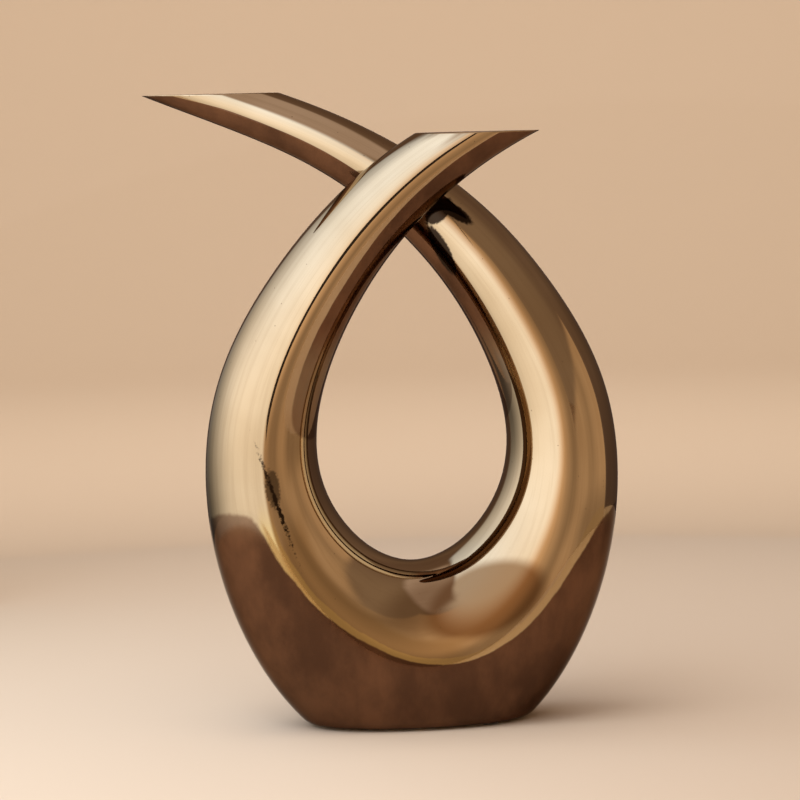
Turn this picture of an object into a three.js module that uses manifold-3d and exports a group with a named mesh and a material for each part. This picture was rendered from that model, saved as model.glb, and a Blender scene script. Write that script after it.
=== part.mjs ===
// Ceramic loop sculpture: a thick loop whose two arms cross and end in flat-cut horns.
// Millimetres, +Z up. -Y is the front, where the shorter arm passes over the longer one.
import * as THREE from 'three';
import { mergeVertices } from 'three/addons/utils/BufferGeometryUtils.js';
import Module from 'manifold-3d';

const wasm = await Module();
wasm.setup();

// Heights of the flat faces
const FELT_HEIGHT = 1.5;
const FOOT_Z = FELT_HEIGHT;
const SEAM_Z = 160;
const FRONT_CUT_Z = 355;
const REAR_CUT_Z = 381;

// Casting
const WALL = 6;
const SEAM_THICKNESS = 1;
const POUR_HOLE_RADIUS = 10;
const ARM_OFFSET = 26.5;

// Slip between the arms at the crossing
const CROSSING_X = -3.5;
const CROSSING_Z = 321;
const CROSSING_SLIP_RADIUS = 9;
const SLIP_CLEARANCE = 0.3;

// Felt feet under the casting's foot
const FELT_RADIUS = 6;
const FELT_X = 42;
const FELT_Y = 15;

// Mesh density
const OUTER_SIDES = 30;
const INNER_SIDES = 16;
const OUTER_SECTIONS_PER_SPAN = 6;
const INNER_SECTIONS_PER_SPAN = 4;
const ROUND_SIDES = 24;

// Control points of the ribbon: outer edge x and z, inner edge x and z, middle y, depth along Y.
const FRONT_ARM_POINTS = [
  [277, 423, 293, 427.5, -ARM_OFFSET, 4],
  [160.5, 402.5, 174.5, 390, -ARM_OFFSET, 13],
  [57.5, 384, 75.5, 358.5, -ARM_OFFSET, 35],
  [-25.5, 341, 2.5, 306, -ARM_OFFSET, 53.5],
  [-88, 270, -43, 237.5, -24.5, 66],
];
const REAR_ARM_POINTS = [
  [86, 267.5, 39.5, 238, 24.5, 66],
  [37.5, 324, 3.5, 290.5, ARM_OFFSET, 55.5],
  [-47.5, 375.5, -59.5, 344, ARM_OFFSET, 41],
  [-167, 409.5, -168, 381.5, ARM_OFFSET, 31],
  [-316, 426.5, -293, 445, ARM_OFFSET, 14],
];
// The lower half of the loop is the same on both sides of the foot, turned by half a turn:
// from the foot the right limb leans back and the left limb leans forward.
const RIGHT_LIMB_POINTS = [
  [61.5, -12.5, 11.5, 99.5, 5, 88],
  [104.5, 46.5, 31, 109, 10, 86],
  [127, 122, 53.5, 137.5, 15, 82],
  [123.5, 202, 60.5, 179.5, 20, 76],
];
const FOOT_POINT = [0, -33.5, 0, 98, 0, 88.5];
const LEFT_LIMB_POINTS = RIGHT_LIMB_POINTS
  .map(([outerX, outerZ, innerX, innerZ, y, depth]) => [-outerX, outerZ, -innerX, innerZ, -y, depth])
  .reverse();
const RIBBON = [
  ...FRONT_ARM_POINTS, ...LEFT_LIMB_POINTS, FOOT_POINT, ...RIGHT_LIMB_POINTS, ...REAR_ARM_POINTS,
];

// Places along the ribbon, in spans counted from the front horn
const LAST_SPAN = RIBBON.length - 3;
const FOOT_SPAN = RIBBON.indexOf(FOOT_POINT) - 1;
const SEAM_FROM_FOOT = 3.5;
const FRONT_SEAM_SPAN = FOOT_SPAN - SEAM_FROM_FOOT;
const REAR_SEAM_SPAN = FOOT_SPAN + SEAM_FROM_FOOT;
const SEAM_MARGIN = 0.4;
const FRONT_HOLLOW_END = 2;
const REAR_HOLLOW_END = 14.4;

// The ribbon is a uniform cubic B-spline in all six values of its control points.
function ribbonAt(span) {
  const first = Math.min(Math.floor(span), RIBBON.length - 4);
  const u = span - first;
  const weights = [
    (1 - u) ** 3 / 6,
    (3 * u ** 3 - 6 * u ** 2 + 4) / 6,
    (-3 * u ** 3 + 3 * u ** 2 + 3 * u + 1) / 6,
    u ** 3 / 6,
  ];
  const blend = (column) => weights.reduce((sum, weight, k) => sum + weight * RIBBON[first + k][column], 0);
  const y = blend(4);
  const outer = new THREE.Vector3(blend(0), y, blend(1));
  const inner = new THREE.Vector3(blend(2), y, blend(3));
  const across = outer.clone().sub(inner);
  return {
    centre: outer.add(inner).divideScalar(2),
    halfWidth: across.length() / 2,
    side: across.normalize(),
    halfDepth: blend(5) / 2,
  };
}

// A closed tube of elliptical sections along part of the ribbon, grown or shrunk all round.
function ribbonTube(fromSpan, toSpan, grow, sides, sectionsPerSpan) {
  const sections = Math.ceil((toSpan - fromSpan) * sectionsPerSpan);
  const positions = [];
  const faces = [];
  for (let i = 0; i <= sections; i++) {
    const { centre, side, halfWidth, halfDepth } = ribbonAt(fromSpan + ((toSpan - fromSpan) * i) / sections);
    for (let j = 0; j < sides; j++) {
      const angle = (2 * Math.PI * j) / sides;
      const across = (halfWidth + grow) * Math.cos(angle);
      const along = (halfDepth + grow) * Math.sin(angle);
      positions.push(centre.x + across * side.x, centre.y + along, centre.z + across * side.z);
    }
  }
  for (let i = 0; i < sections; i++) {
    for (let j = 0; j < sides; j++) {
      const a = i * sides + j;
      const b = i * sides + ((j + 1) % sides);
      faces.push(a, b, b + sides, a, b + sides, a + sides);
    }
  }
  const lastRing = sections * sides;
  for (let j = 1; j < sides - 1; j++) {
    faces.push(0, j + 1, j);
    faces.push(lastRing, lastRing + j, lastRing + j + 1);
  }
  const tube = new THREE.BufferGeometry();
  tube.setAttribute('position', new THREE.Float32BufferAttribute(positions, 3));
  tube.setIndex(faces);
  return tube;
}

function toSolid(geometry) {
  const bare = geometry.clone();
  bare.deleteAttribute('normal');
  bare.deleteAttribute('uv');
  const welded = mergeVertices(bare);
  return new wasm.Manifold(new wasm.Mesh({
    numProp: 3,
    vertProperties: new Float32Array(welded.attributes.position.array),
    triVerts: new Uint32Array(welded.index.array),
  }));
}

// A slab wider than the sculpture, between two heights
function slab(low, high) {
  const reach = 1000;
  const box = new THREE.BoxGeometry(reach, reach, high - low);
  box.translate(0, 0, (low + high) / 2);
  return toSolid(box);
}

function uprightCylinder(radius, low, high, x, y) {
  const cylinder = new THREE.CylinderGeometry(radius, radius, high - low, ROUND_SIDES);
  cylinder.rotateX(Math.PI / 2);
  cylinder.translate(x, y, (low + high) / 2);
  return cylinder;
}

function outerTube(fromSpan, toSpan, grow = 0) {
  return toSolid(ribbonTube(fromSpan, toSpan, grow, OUTER_SIDES, OUTER_SECTIONS_PER_SPAN));
}

function innerTube(fromSpan, toSpan) {
  return toSolid(ribbonTube(fromSpan, toSpan, -WALL, INNER_SIDES, INNER_SECTIONS_PER_SPAN));
}

const seamLow = SEAM_Z - SEAM_THICKNESS / 2;
const seamHigh = SEAM_Z + SEAM_THICKNESS / 2;
const frontArmTube = outerTube(0, FRONT_SEAM_SPAN + SEAM_MARGIN);
const rearArmTube = outerTube(REAR_SEAM_SPAN - SEAM_MARGIN, LAST_SPAN);
const frontArmHollow = innerTube(FRONT_HOLLOW_END, FRONT_SEAM_SPAN + SEAM_MARGIN);
const rearArmHollow = innerTube(REAR_SEAM_SPAN - SEAM_MARGIN, REAR_HOLLOW_END);

// Lower casting: a U-shaped shell, open at both limbs and at the pour hole in its foot
const bodyTube = outerTube(FRONT_SEAM_SPAN - SEAM_MARGIN, REAR_SEAM_SPAN + SEAM_MARGIN);
const bodyHollow = innerTube(FRONT_SEAM_SPAN - SEAM_MARGIN, REAR_SEAM_SPAN + SEAM_MARGIN)
  .intersect(slab(FOOT_Z + WALL, seamHigh));
const pourHole = toSolid(uprightCylinder(POUR_HOLE_RADIUS, 0, FOOT_Z + 2 * WALL, 0, 0));
const loopBody = bodyTube
  .intersect(slab(FOOT_Z, seamLow))
  .subtract(bodyHollow)
  .subtract(pourHole);

// Arms: hollow from the seam to past the crossing, solid in the horns
const frontArm = frontArmTube.subtract(frontArmHollow).intersect(slab(seamHigh, FRONT_CUT_Z));
const rearArm = rearArmTube.subtract(rearArmHollow).intersect(slab(seamHigh, REAR_CUT_Z));

// Slip joints: a flush ring at each seam, and a saddle of slip between the crossing arms
const seamSlab = slab(seamLow, seamHigh);
const frontLuting = frontArmTube.subtract(frontArmHollow).intersect(seamSlab);
const rearLuting = rearArmTube.subtract(rearArmHollow).intersect(seamSlab);
const slipBlank = new THREE.CylinderGeometry(
  CROSSING_SLIP_RADIUS, CROSSING_SLIP_RADIUS, 2 * CROSSING_SLIP_RADIUS, ROUND_SIDES);
slipBlank.translate(CROSSING_X, 0, CROSSING_Z);
const crossingLuting = toSolid(slipBlank)
  .subtract(outerTube(0, FRONT_SEAM_SPAN, SLIP_CLEARANCE))
  .subtract(outerTube(REAR_SEAM_SPAN, LAST_SPAN, SLIP_CLEARANCE));

const bronzeGlaze = new THREE.MeshStandardMaterial({ color: 0xa07d4f, roughness: 0.12, metalness: 0.9 });
const slipClay = new THREE.MeshStandardMaterial({ color: 0x8a6a44, roughness: 0.4, metalness: 0.6 });
const darkFelt = new THREE.MeshStandardMaterial({ color: 0x2a2420, roughness: 0.95, metalness: 0 });

const sculpture = new THREE.Group();
sculpture.name = 'ceramic_loop_sculpture';

function addMesh(name, geometry, material) {
  const mesh = new THREE.Mesh(geometry, material.clone());
  mesh.name = name;
  sculpture.add(mesh);
}

function addSolid(name, solid, material) {
  const { vertProperties, triVerts } = solid.getMesh();
  const geometry = new THREE.BufferGeometry();
  geometry.setAttribute('position', new THREE.BufferAttribute(vertProperties, 3));
  geometry.setIndex(new THREE.BufferAttribute(triVerts, 1));
  geometry.computeVertexNormals();
  addMesh(name, geometry, material);
}

addSolid('loop_body', loopBody, bronzeGlaze);
addSolid('front_arm', frontArm, bronzeGlaze);
addSolid('rear_arm', rearArm, bronzeGlaze);
addSolid('front_arm_luting', frontLuting, slipClay);
addSolid('rear_arm_luting', rearLuting, slipClay);
addSolid('crossing_luting', crossingLuting, slipClay);
for (const [side, signX] of [['left', -1], ['right', 1]]) {
  for (const [face, signY] of [['front', -1], ['back', 1]]) {
    const foot = uprightCylinder(FELT_RADIUS, 0, FELT_HEIGHT, signX * FELT_X, signY * FELT_Y);
    addMesh(`felt_foot_${face}_${side}`, foot, darkFelt);
  }
}

// The origin is the middle of the bounding box on the floor, so the long horn shifts the loop.
const bounds = new THREE.Box3().setFromObject(sculpture, true);
const middle = bounds.getCenter(new THREE.Vector3());
for (const mesh of sculpture.children) {
  mesh.geometry.translate(-middle.x, -middle.y, 0);
}

export default sculpture;
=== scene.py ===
# %% [markdown]
# The real object is one ribbon of slip-cast clay. It stands on a flat foot,
# swells into a drop-shaped loop, and its two arms cross at the top and run
# out into horns that are sliced off level. The imported CAD model fixes where
# every piece sits, so we load it first. We also read the boxes of its parts.

# %% Load the frame
import math

import bpy
import numpy as np
from mathutils import Matrix, Vector


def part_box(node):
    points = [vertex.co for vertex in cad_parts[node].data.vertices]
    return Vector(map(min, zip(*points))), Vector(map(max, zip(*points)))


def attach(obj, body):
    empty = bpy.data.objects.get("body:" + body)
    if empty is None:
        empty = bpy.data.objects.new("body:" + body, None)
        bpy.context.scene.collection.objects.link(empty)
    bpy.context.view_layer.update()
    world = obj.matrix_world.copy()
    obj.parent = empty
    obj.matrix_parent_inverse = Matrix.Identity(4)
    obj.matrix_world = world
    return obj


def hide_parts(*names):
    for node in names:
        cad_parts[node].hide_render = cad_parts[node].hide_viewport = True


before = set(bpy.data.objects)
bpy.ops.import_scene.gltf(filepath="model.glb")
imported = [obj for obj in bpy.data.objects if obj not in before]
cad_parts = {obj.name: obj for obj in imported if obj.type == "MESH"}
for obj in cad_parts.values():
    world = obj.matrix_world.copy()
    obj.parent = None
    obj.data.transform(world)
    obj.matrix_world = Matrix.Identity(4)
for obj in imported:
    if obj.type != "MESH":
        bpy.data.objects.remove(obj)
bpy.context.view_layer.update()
print("CAD nodes:", sorted(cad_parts))

# %% [markdown]
# ## Small helpers for shader nodes
# Every finish below is a network of nodes. These helpers keep the wiring
# readable: they make a node, plug a value or another socket into it, and do
# the few sums that come up all the time.

# %% Node helpers


def add_node(tree, kind, **settings):
    """Adds a node and sets its properties by name."""
    made = tree.nodes.new(kind)
    for name, value in settings.items():
        setattr(made, name, value)
    return made


def plug(tree, socket, source):
    """Joins a socket to another one, or writes a plain value in it."""
    if isinstance(source, bpy.types.NodeSocket):
        tree.links.new(source, socket)
    else:
        socket.default_value = source


def math_node(tree, operation, first, second=0.0, clamp=False):
    """A Math node with both of its inputs filled."""
    made = add_node(tree, "ShaderNodeMath", operation=operation, use_clamp=clamp)
    plug(tree, made.inputs[0], first)
    plug(tree, made.inputs[1], second)
    return made.outputs[0]


def plus(tree, first, second):
    """The sum of two values."""
    return math_node(tree, "ADD", first, second)


def minus(tree, first, second):
    """The first value less the second."""
    return math_node(tree, "SUBTRACT", first, second)


def times(tree, first, *others):
    """The product of two or more values."""
    for other in others:
        first = math_node(tree, "MULTIPLY", first, other)
    return first


def object_place(tree):
    """Where a point lies on the object, in metres."""
    return add_node(tree, "ShaderNodeTexCoord").outputs["Object"]


def split(tree, vector):
    """The X, Y and Z of a vector."""
    made = add_node(tree, "ShaderNodeSeparateXYZ")
    plug(tree, made.inputs[0], vector)
    return made.outputs


print("helpers ready for Blender", bpy.app.version_string)

# %% [markdown]
# ## Noise, ranges, colours and groups
# Noise breaks up every finish, and a smooth step turns it into patches. The
# effects that several finishes share are node groups, built once and placed
# in each material with its own values.

# %% Helpers for finishes


def noise(tree, scale, detail=2.0, roughness=0.5, place=None, stretch=None):
    """Noise from 0 to 1, in lumps per metre of the object unless a place is given."""
    if place is None:
        place = object_place(tree)
    if stretch is not None:
        squeezed = add_node(tree, "ShaderNodeMapping", vector_type="POINT")
        plug(tree, squeezed.inputs["Vector"], place)
        squeezed.inputs["Scale"].default_value = stretch
        place = squeezed.outputs["Vector"]
    made = add_node(tree, "ShaderNodeTexNoise")
    for name, value in (("Vector", place), ("Scale", scale), ("Detail", detail), ("Roughness", roughness)):
        plug(tree, made.inputs[name], value)
    return made.outputs["Fac"]


def remap(tree, value, low, high, to_low=0.0, to_high=1.0):
    """A smooth step from one range to another."""
    made = add_node(tree, "ShaderNodeMapRange", interpolation_type="SMOOTHSTEP")
    for name, number in (
        ("Value", value), ("From Min", low), ("From Max", high),
        ("To Min", to_low), ("To Max", to_high),
    ):
        plug(tree, made.inputs[name], number)
    return made.outputs["Result"]


def mix_colour(tree, share, first, second):
    """Mixes two colours; a share of 0 gives the first."""
    made = add_node(tree, "ShaderNodeMix", data_type="RGBA")
    plug(tree, made.inputs[0], share)
    plug(tree, made.inputs[6], first)
    plug(tree, made.inputs[7], second)
    return made.outputs[2]


def new_group(name, inputs, outputs):
    """A group with number sockets; returns it with what it is given and its results."""
    tree = bpy.data.node_groups.new(name, "ShaderNodeTree")
    for label, value in inputs.items():
        socket = tree.interface.new_socket(label, in_out="INPUT", socket_type="NodeSocketFloat")
        socket.default_value = value
    for label in outputs:
        tree.interface.new_socket(label, in_out="OUTPUT", socket_type="NodeSocketFloat")
    start, end = tree.nodes.new("NodeGroupInput"), tree.nodes.new("NodeGroupOutput")
    return tree, start.outputs, end.inputs


def place_group(tree, group, **values):
    """Puts a group in a material and fills its inputs."""
    made = add_node(tree, "ShaderNodeGroup", node_tree=group)
    for name, value in values.items():
        plug(tree, made.inputs[name], value)
    return made.outputs


print("node groups so far:", len(bpy.data.node_groups))

# %% [markdown]
# ## Ripple of a fired glaze
# A glaze melts and levels in the kiln, but never to a perfect mirror: it
# keeps slow waves a few centimetres long and a fine skin like orange peel.
# Real displacement would need millions of faces for waves this shallow, so
# the group gives a height in metres for a Bump node, and a slow cloud that
# tints the colour.

# %% Group for the ripple
MM = 0.001
PEEL_SCALE, CLOUD_SCALE = 900.0, 11.0
ripple, given, result = new_group(
    "glaze_ripple", {"Wave": 0.05, "Peel": 0.001, "Wave Scale": 20.0}, ("Height", "Cloud")
)
waves = times(ripple, noise(ripple, given["Wave Scale"], detail=1.0), given["Wave"])
peel = times(ripple, noise(ripple, PEEL_SCALE, detail=1.0), given["Peel"])
plug(ripple, result["Height"], times(ripple, plus(ripple, waves, peel), MM))
plug(ripple, result["Cloud"], noise(ripple, CLOUD_SCALE, detail=3.0, roughness=0.55))
print("group", ripple.name, "gives", [socket.name for socket in result if socket.name])

# %% [markdown]
# ## Painted dark reflection on the undersides
# The bellies of the horns and the lower third of the loop are painted brown
# instead of gold: a painted reflection of a dark floor, with painted shade, on
# the faces that turn under. The group reads how far up the surface faces, and
# browns it below a limit. Near the foot the limit is higher, so the brown
# starts sooner, soonest a little left of the middle. At the tip of the long
# horn the gold reaches further under, and halfway up the brown is painted at
# only part strength. Noise breaks the border and paints a darker mottle inside
# the brown.

# %% Group for the painted dark reflection
painted_reflection, given, result = new_group(
    "painted_reflection",
    {
        "Belly Limit": -0.30, "Foot Limit": 0.083, "Foot Low": 0.12, "Foot High": 0.29,
        "Crest X": 0.0065, "Drop Left": 0.190, "Drop Right": 0.145, "Softness": 0.006, "Mottle": 0.05,
    },
    ("Mask", "Strip", "Verge", "Mottled Reflection"),
)
REACH_LEFT, REACH_RIGHT = 0.11, 0.105
TIP_X, TIP_Z, TIP_DROP = (-0.085, -0.135), (0.32, 0.35), 0.25
LOW_PART, HIGH_PART, HALFWAY_SHARE = (0.115, 0.145), (0.215, 0.245), 0.65
MOTTLE_SCALE, MOTTLE_STRETCH, MOTTLE_STEP = 30.0, (1.0, 1.0, 0.55), (0.32, 0.68)
at_x, _, at_z = split(painted_reflection, object_place(painted_reflection))
facing_up = split(painted_reflection, add_node(painted_reflection, "ShaderNodeNewGeometry").outputs["Normal"])["Z"]
aside = minus(painted_reflection, at_x, given["Crest X"])
drop = plus(
    painted_reflection,
    remap(painted_reflection, aside, -REACH_LEFT, 0.0, given["Drop Left"], 0.0),
    remap(painted_reflection, aside, 0.0, REACH_RIGHT, 0.0, given["Drop Right"]),
)
limit = remap(
    painted_reflection, at_z, given["Foot Low"], given["Foot High"],
    minus(painted_reflection, given["Foot Limit"], drop), given["Belly Limit"],
)
near_tip = times(painted_reflection, remap(painted_reflection, at_x, *TIP_X, 0.0, TIP_DROP), remap(painted_reflection, at_z, *TIP_Z))
limit = minus(painted_reflection, limit, near_tip)
# Noise for the ragged border and for the painted darker mottle inside the brown.
mottle_noise = noise(painted_reflection, MOTTLE_SCALE, detail=6.0, roughness=0.62, stretch=MOTTLE_STRETCH)
ragged = times(painted_reflection, minus(painted_reflection, mottle_noise, 0.5), given["Mottle"])
above_limit = minus(painted_reflection, plus(painted_reflection, facing_up, ragged), limit)
# Faces that turn under the limit get the painted dark reflection.
browned = remap(painted_reflection, math_node(painted_reflection, "DIVIDE", above_limit, given["Softness"]), 1.0, -1.0)
part_strength = math_node(
    painted_reflection, "MAXIMUM",
    remap(painted_reflection, at_z, *LOW_PART, 1.0, HALFWAY_SHARE),
    remap(painted_reflection, at_z, *HIGH_PART, HALFWAY_SHARE, 1.0),
)
plug(painted_reflection, result["Mask"], times(painted_reflection, browned, part_strength))
plug(painted_reflection, result["Mottled Reflection"], remap(painted_reflection, mottle_noise, *MOTTLE_STEP))
print("the limit drops within", REACH_LEFT, "m to the left and", REACH_RIGHT, "m to the right")

# %% [markdown]
# ## A painted highlight along the border
# In the bowl of the loop, just above the border of the brown, come a bright
# gold strip, which is a painted highlight, and beside it a wider verge of deeper
# gold, which is a painted reflection. Both are read from the same measure, how
# far a face is above the limit, so they follow the border by themselves. Each
# starts and ends at its own x.

# %% Strip and verge: painted highlight and painted reflection
STRIP_ABOVE, STRIP_START, STRIP_FADE, STRIP_LEFT = (0.045, 0.035), (-0.076, -0.072), (0.01, 0.06), 0.45
VERGE_ABOVE, VERGE_START, VERGE_END = (0.20, 0.13), (-0.064, -0.056), (0.055, 0.035)
low_part = remap(painted_reflection, at_z, *LOW_PART, 1.0, 0.0)
strip = times(
    painted_reflection, low_part, remap(painted_reflection, above_limit, *STRIP_ABOVE),
    remap(painted_reflection, at_x, *STRIP_START), remap(painted_reflection, at_x, *STRIP_FADE, 1.0, STRIP_LEFT),
)
verge = times(
    painted_reflection, low_part, remap(painted_reflection, above_limit, *VERGE_ABOVE),
    remap(painted_reflection, at_x, *VERGE_START), remap(painted_reflection, at_x, *VERGE_END),
)
plug(painted_reflection, result["Strip"], strip)
plug(painted_reflection, result["Verge"], verge)
print("group", painted_reflection.name, "gives", [socket.name for socket in result if socket.name])

# %% [markdown]
# ## Patches with an oval outline
# A few marks sit in one place each: a painted darker reflection in the bowl of
# the loop, a painted dark line of reflection at the left end of the brown, and
# painted shade under the crossing. One group draws them all. It turns the
# surface's x and z to the oval's own directions, divides by its half length
# and half width, and so finds the oval's outline at a distance of 1. The y of
# the normal keeps each mark on the front.

# %% Group for an oval patch
OVAL = {
    "Centre X": 0.0, "Centre Z": 0.1, "Turn": 0.0, "Half Length": 0.02, "Half Width": 0.01,
    "Soft": 0.2, "Ragged": 0.0,
}
TORN_SCALE, FRONT_SIDE = 600.0, (0.15, -0.15)
oval_patch, given, result = new_group("oval_patch", OVAL, ("Mask",))
at_x, _, at_z = split(oval_patch, object_place(oval_patch))
off_x = minus(oval_patch, at_x, given["Centre X"])
off_z = minus(oval_patch, at_z, given["Centre Z"])
cos_turn = math_node(oval_patch, "COSINE", given["Turn"])
sin_turn = math_node(oval_patch, "SINE", given["Turn"])
long_way = plus(oval_patch, times(oval_patch, off_x, cos_turn), times(oval_patch, off_z, sin_turn))
short_way = minus(oval_patch, times(oval_patch, off_z, cos_turn), times(oval_patch, off_x, sin_turn))
squares = []
for way, half in ((long_way, "Half Length"), (short_way, "Half Width")):
    squares.append(math_node(oval_patch, "POWER", math_node(oval_patch, "DIVIDE", way, given[half]), 2.0))
distance = math_node(oval_patch, "SQRT", plus(oval_patch, *squares))
torn = minus(oval_patch, noise(oval_patch, TORN_SCALE, detail=3.0, roughness=0.65), 0.5)
distance = plus(oval_patch, distance, times(oval_patch, torn, given["Ragged"]))
outside = math_node(oval_patch, "DIVIDE", minus(oval_patch, distance, 1.0), given["Soft"])
facing_back = split(oval_patch, add_node(oval_patch, "ShaderNodeNewGeometry").outputs["Normal"])["Y"]
in_front = remap(oval_patch, facing_back, *FRONT_SIDE)
plug(oval_patch, result["Mask"], times(oval_patch, remap(oval_patch, outside, 1.0, -1.0), in_front))
print("group", oval_patch.name, "made")

# %% [markdown]
# ## Hairlines of polishing
# The bronze is polished along the ribbon, which leaves fine lines that run
# with it. The meshes will carry a vector called grain: it turns quickly round
# the ribbon and runs slowly along it, so noise read there is drawn out into
# long hairlines.

# %% Group for hairlines
LINE_STEP = (0.42, 0.68)
hairlines, _, result = new_group("hairlines", {}, ("Lines",))
grain_place = add_node(hairlines, "ShaderNodeAttribute", attribute_name="grain").outputs["Vector"]
strands = noise(hairlines, 1.0, detail=4.0, roughness=0.7, place=grain_place)
plug(hairlines, result["Lines"], remap(hairlines, strands, *LINE_STEP))
print("group", hairlines.name, "made")

# %% [markdown]
# ## Kiln specks and worn rims
# Tiny pits and specks are what tell a fired surface from plastic. Voronoi
# cells place them at random, and only a few cells are picked. The rims of
# the sliced horns are touched most, so a number stored on the mesh, called
# rim, marks them, and noise decides how far each spot has worn.

# %% Groups for specks and wear
specks, given, result = new_group("kiln_specks", {"Scale": 260.0, "Size": 0.07, "Share": 0.12}, ("Mask",))
cells = add_node(specks, "ShaderNodeTexVoronoi")
plug(specks, cells.inputs["Vector"], object_place(specks))
plug(specks, cells.inputs["Scale"], given["Scale"])
near = math_node(specks, "LESS_THAN", cells.outputs["Distance"], given["Size"])
lot = add_node(specks, "ShaderNodeSeparateColor")
plug(specks, lot.inputs[0], cells.outputs["Color"])
picked = math_node(specks, "LESS_THAN", lot.outputs[0], given["Share"])
plug(specks, result["Mask"], times(specks, near, picked))

WEAR_STEP = (0.35, 0.7)
rim_wear, given, result = new_group("rim_wear", {"Amount": 0.6, "Patch Scale": 160.0}, ("Mask",))
on_rim = add_node(rim_wear, "ShaderNodeAttribute", attribute_name="rim").outputs["Fac"]
worn = remap(rim_wear, noise(rim_wear, given["Patch Scale"]), *WEAR_STEP)
plug(rim_wear, result["Mask"], times(rim_wear, on_rim, worn, given["Amount"]))
print("groups", specks.name, "and", rim_wear.name, "made")

# %% [markdown]
# ## Grain of matt surfaces
# Bare clay and pressed felt are both matt and grainy, at different scales.
# One group serves both: a fine grain over a coarse blotch, as a tint and as
# a height.

# %% Group for matt grain
matt_grain, given, result = new_group(
    "matt_grain", {"Grain Scale": 900.0, "Blotch Scale": 60.0, "Relief": 0.1}, ("Tint", "Height")
)
TINT_STEP = (0.35, 0.65)
fine = noise(matt_grain, given["Grain Scale"], detail=4.0)
coarse = noise(matt_grain, given["Blotch Scale"], detail=3.0)
both = times(matt_grain, plus(matt_grain, fine, coarse), 0.5)
plug(matt_grain, result["Tint"], remap(matt_grain, both, *TINT_STEP))
plug(matt_grain, result["Height"], times(matt_grain, fine, given["Relief"], MM))
print("group", matt_grain.name, "made")

# %% [markdown]
# ## Colours and marks of the bronze
# The bronze drifts between a pale and a deeper tone, and each effect above
# has a colour of its own. A mark is one row: how much of its colour shows,
# and then the oval's inputs in the order of the group's sockets, with places
# and sizes in metres and the turn in radians.

# %% Colours and marks
PALE_BRONZE, DEEP_BRONZE = (0.50, 0.385, 0.25, 1), (0.43, 0.315, 0.19, 1)
# Painted dark reflection of the floor on the undersides, and its darker mottle.
PAINTED_REFLECTION_BROWN, PAINTED_REFLECTION_DARK = (0.165, 0.083, 0.046, 1), (0.090, 0.046, 0.027, 1)
LINE_BRONZE, LINE_SHARE = (0.36, 0.26, 0.155, 1), 0.35
# Painted highlight along the border of the brown.
PAINTED_HIGHLIGHT_GOLD, PAINTED_HIGHLIGHT_SHARE = (0.52, 0.38, 0.16, 1), 0.8
# Painted reflection, a deeper gold beside that highlight.
PAINTED_REFLECTION_GOLD = (0.36, 0.25, 0.135, 1)
# Painted darker reflection in the bowl.
PAINTED_BOWL_DARK = (0.20, 0.115, 0.055, 1)
# Painted shade and painted dark reflection lines.
PAINTED_SHADE_DARK = (0.030, 0.019, 0.012, 1)
WORN_BRONZE = (0.62, 0.49, 0.33, 1)
SPECK_BROWN = (0.10, 0.060, 0.035, 1)
EDGE_TINT = (0.56, 0.54, 0.52, 1)
# Ovals of painted darker reflection in the bowl.
PAINTED_BOWL_MARKS = {
    "painted darker reflection on the right": (1.0, 0.0585, 0.0775, 0.38, 0.037, 0.0195, 0.16),
    "thin painted darker reflection in the bowl": (0.6, 0.0255, 0.0745, 0.20, 0.028, 0.014, 0.45),
}
# Painted shade under the crossing and painted dark reflection lines on the left limb.
PAINTED_DARK_MARKS = {
    "painted dark reflection line on the left": (1.0, -0.0635, 0.142, -1.26, 0.0255, 0.0012, 0.5, 3.0),
    "painted dark reflection spot on the left": (0.7, -0.0655, 0.150, -1.48, 0.011, 0.0042, 0.2, 1.0),
    "painted shade behind the front arm": (1.0, 0.0450, 0.308, -0.62, 0.0135, 0.0038, 0.15, 0.4),
    "painted shade in the corner": (1.0, 0.0366, 0.3078, 0.75, 0.010, 0.0055, 0.12, 0.4),
    "painted shade down the inside": (1.0, 0.0378, 0.2845, -1.10, 0.0165, 0.0043, 0.12, 0.4),
}
print("marks:", [*PAINTED_BOWL_MARKS, *PAINTED_DARK_MARKS])

# %% [markdown]
# ## The bronze glaze
# The skin is a metallic glaze: it mirrors the room like polished bronze. A
# Principled shader with Metallic at 1 does that. Over the drifting bronze come
# the hairlines, a painted darker reflection in the bowl, a painted reflection
# and a painted highlight along the border of the brown, the painted dark
# reflection of the undersides, painted shade and dark lines of reflection, the
# worn rims and the specks. The roughness rises in the brown and at the specks,
# so that the mirror is never quite even.

# %% Bronze finishes
# The roughness rises where the dark reflection is painted.
BROWN_DULL, DRIFT_DULL, DRIFT_STEP = 0.4, 0.35, (0.3, 0.7)


def new_finish(name):
    """An empty material with a Principled shader; returns it with its tree and shader."""
    finish = bpy.data.materials.new(name)
    finish.use_nodes = True
    tree = finish.node_tree
    tree.nodes.clear()
    shader = add_node(tree, "ShaderNodeBsdfPrincipled")
    output = add_node(tree, "ShaderNodeOutputMaterial")
    plug(tree, output.inputs["Surface"], shader.outputs["BSDF"])
    return finish, tree, shader


def add_bump(tree, shader, height):
    """Sends a height in metres to the shader's Normal."""
    bump = add_node(tree, "ShaderNodeBump")
    bump.inputs["Strength"].default_value = 1.0
    bump.inputs["Distance"].default_value = 1.0
    plug(tree, bump.inputs["Height"], height)
    plug(tree, shader.inputs["Normal"], bump.outputs["Normal"])


def add_marks(tree, colour, marks, tone):
    """Lays oval patches of one tone over a colour."""
    for share, *numbers in marks.values():
        mask = place_group(tree, oval_patch, **dict(zip(OVAL, numbers)))["Mask"]
        colour = mix_colour(tree, times(tree, mask, share), colour, tone)
    return colour


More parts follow.
